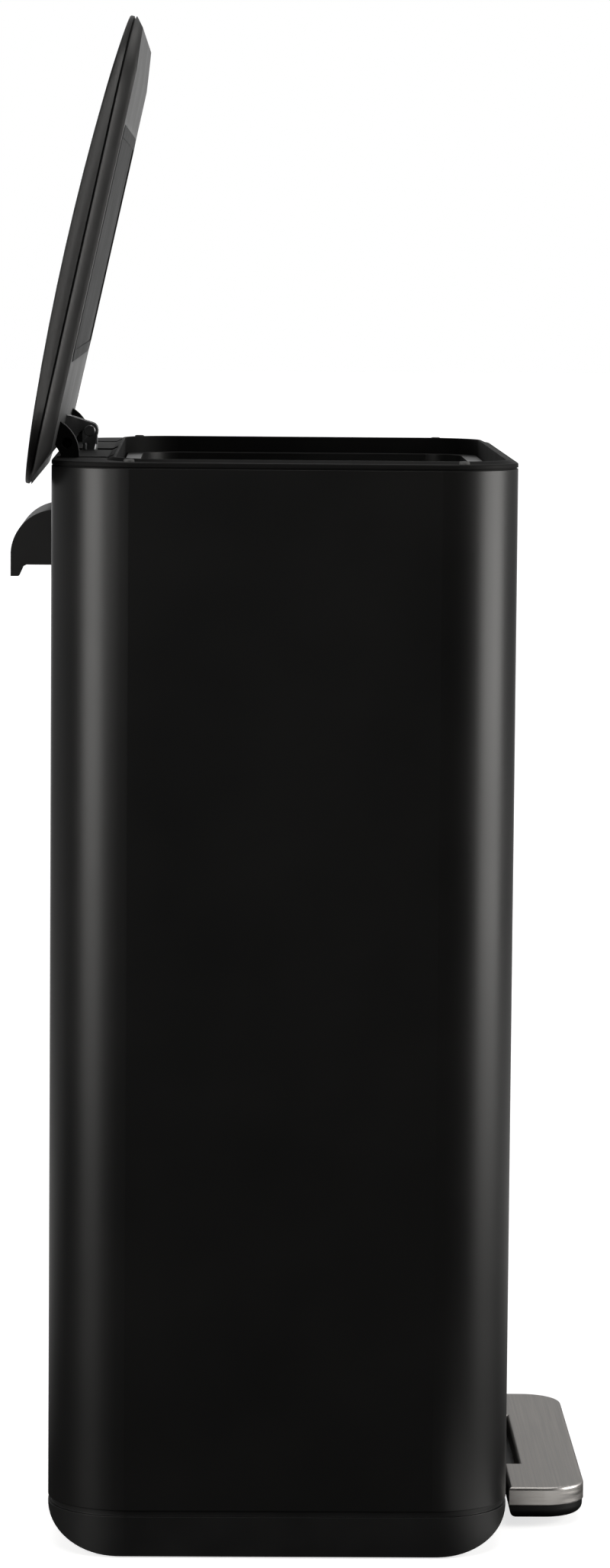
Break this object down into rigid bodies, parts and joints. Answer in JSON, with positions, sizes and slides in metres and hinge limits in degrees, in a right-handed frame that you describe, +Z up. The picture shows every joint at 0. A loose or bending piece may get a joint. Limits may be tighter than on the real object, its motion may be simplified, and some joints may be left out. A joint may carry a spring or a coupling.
{
  "type": "pedal trash can",
  "caption": "Tall rectangular kitchen pedal bin with black steel body, crowned lid standing open, wide brushed steel foot pedal, rear carry handle and lift-out bucket.",
  "frame": {"origin": "on the floor, under the middle of the overall depth (pedal tip to rear handle) and of the width", "axes": "+Z up, -Y towards the front with the pedal, +Y towards the hinge and carry handle, +X to the right seen from the front"},
  "size_m": [0.4, 0.3376, 0.8651],
  "materials": {
    "black_steel": "satin",
    "black_plastic": "fine texture",
    "bucket_plastic": "smooth",
    "white_plastic": "smooth",
    "black_rubber": "matte",
    "grey_rubber": "matte",
    "brushed_stainless": "brushed along its width",
    "zinc_steel": "zinc plated"
  },
  "bodies": {
    "can": {"outer_shell": "black_steel", "base_tub": "black_plastic", "rubber_feet": "black_rubber", "rim_collar": "black_plastic", "hinge_pins": "zinc_steel", "lid_bumpers": "grey_rubber", "inner_bucket": "bucket_plastic", "rear_handle": "black_plastic", "handle_screws": "zinc_steel", "rod_guides": "black_plastic", "wall_rivets": "zinc_steel", "damper_cylinder": "black_plastic", "damper_saddles": "black_plastic", "pedal_axle": "zinc_steel", "axle_clips": "zinc_steel", "slot_bezels": "black_plastic"},
    "lid": {"lid_cover": "black_steel", "lid_frame": "black_plastic", "lid_inner_panel": "black_plastic", "hinge_arms": "black_plastic", "lid_crank": "zinc_steel"},
    "pedal": {"pedal_tread": "brushed_stainless", "pedal_base": "black_plastic", "pedal_lever": "zinc_steel", "pedal_screws": "zinc_steel", "axle_bushes": "white_plastic"},
    "rod": {"push_rod": "zinc_steel", "rod_clip": "zinc_steel", "rod_head": "zinc_steel", "crank_pin": "zinc_steel", "damper_link": "black_plastic", "damper_piston": "zinc_steel"}
  },
  "joints": [
    {"name": "lid_hinge", "type": "hinge", "parent": "can", "child": "lid", "pos_m": [0, 0.13425, 0.611], "axis": [1, 0, 0], "range_deg": [0, 77.5]},
    {"name": "pedal_hinge", "type": "hinge", "parent": "can", "child": "pedal", "pos_m": [0, -0.00925, 0.022], "axis": [-1, 0, 0], "range_deg": [0, 10.42]},
    {"name": "rod_foot", "type": "hinge", "parent": "pedal", "child": "rod", "pos_m": [0, 0.12405, 0.0341], "axis": [1, 0, 0], "range_deg": [0, 10.42]}
  ],
  "couplings": [
    {"joint": "pedal_hinge", "follows": "lid_hinge", "ratio": 0.13385},
    {"joint": "rod_foot", "follows": "lid_hinge", "ratio": 0.13385}
  ]
}
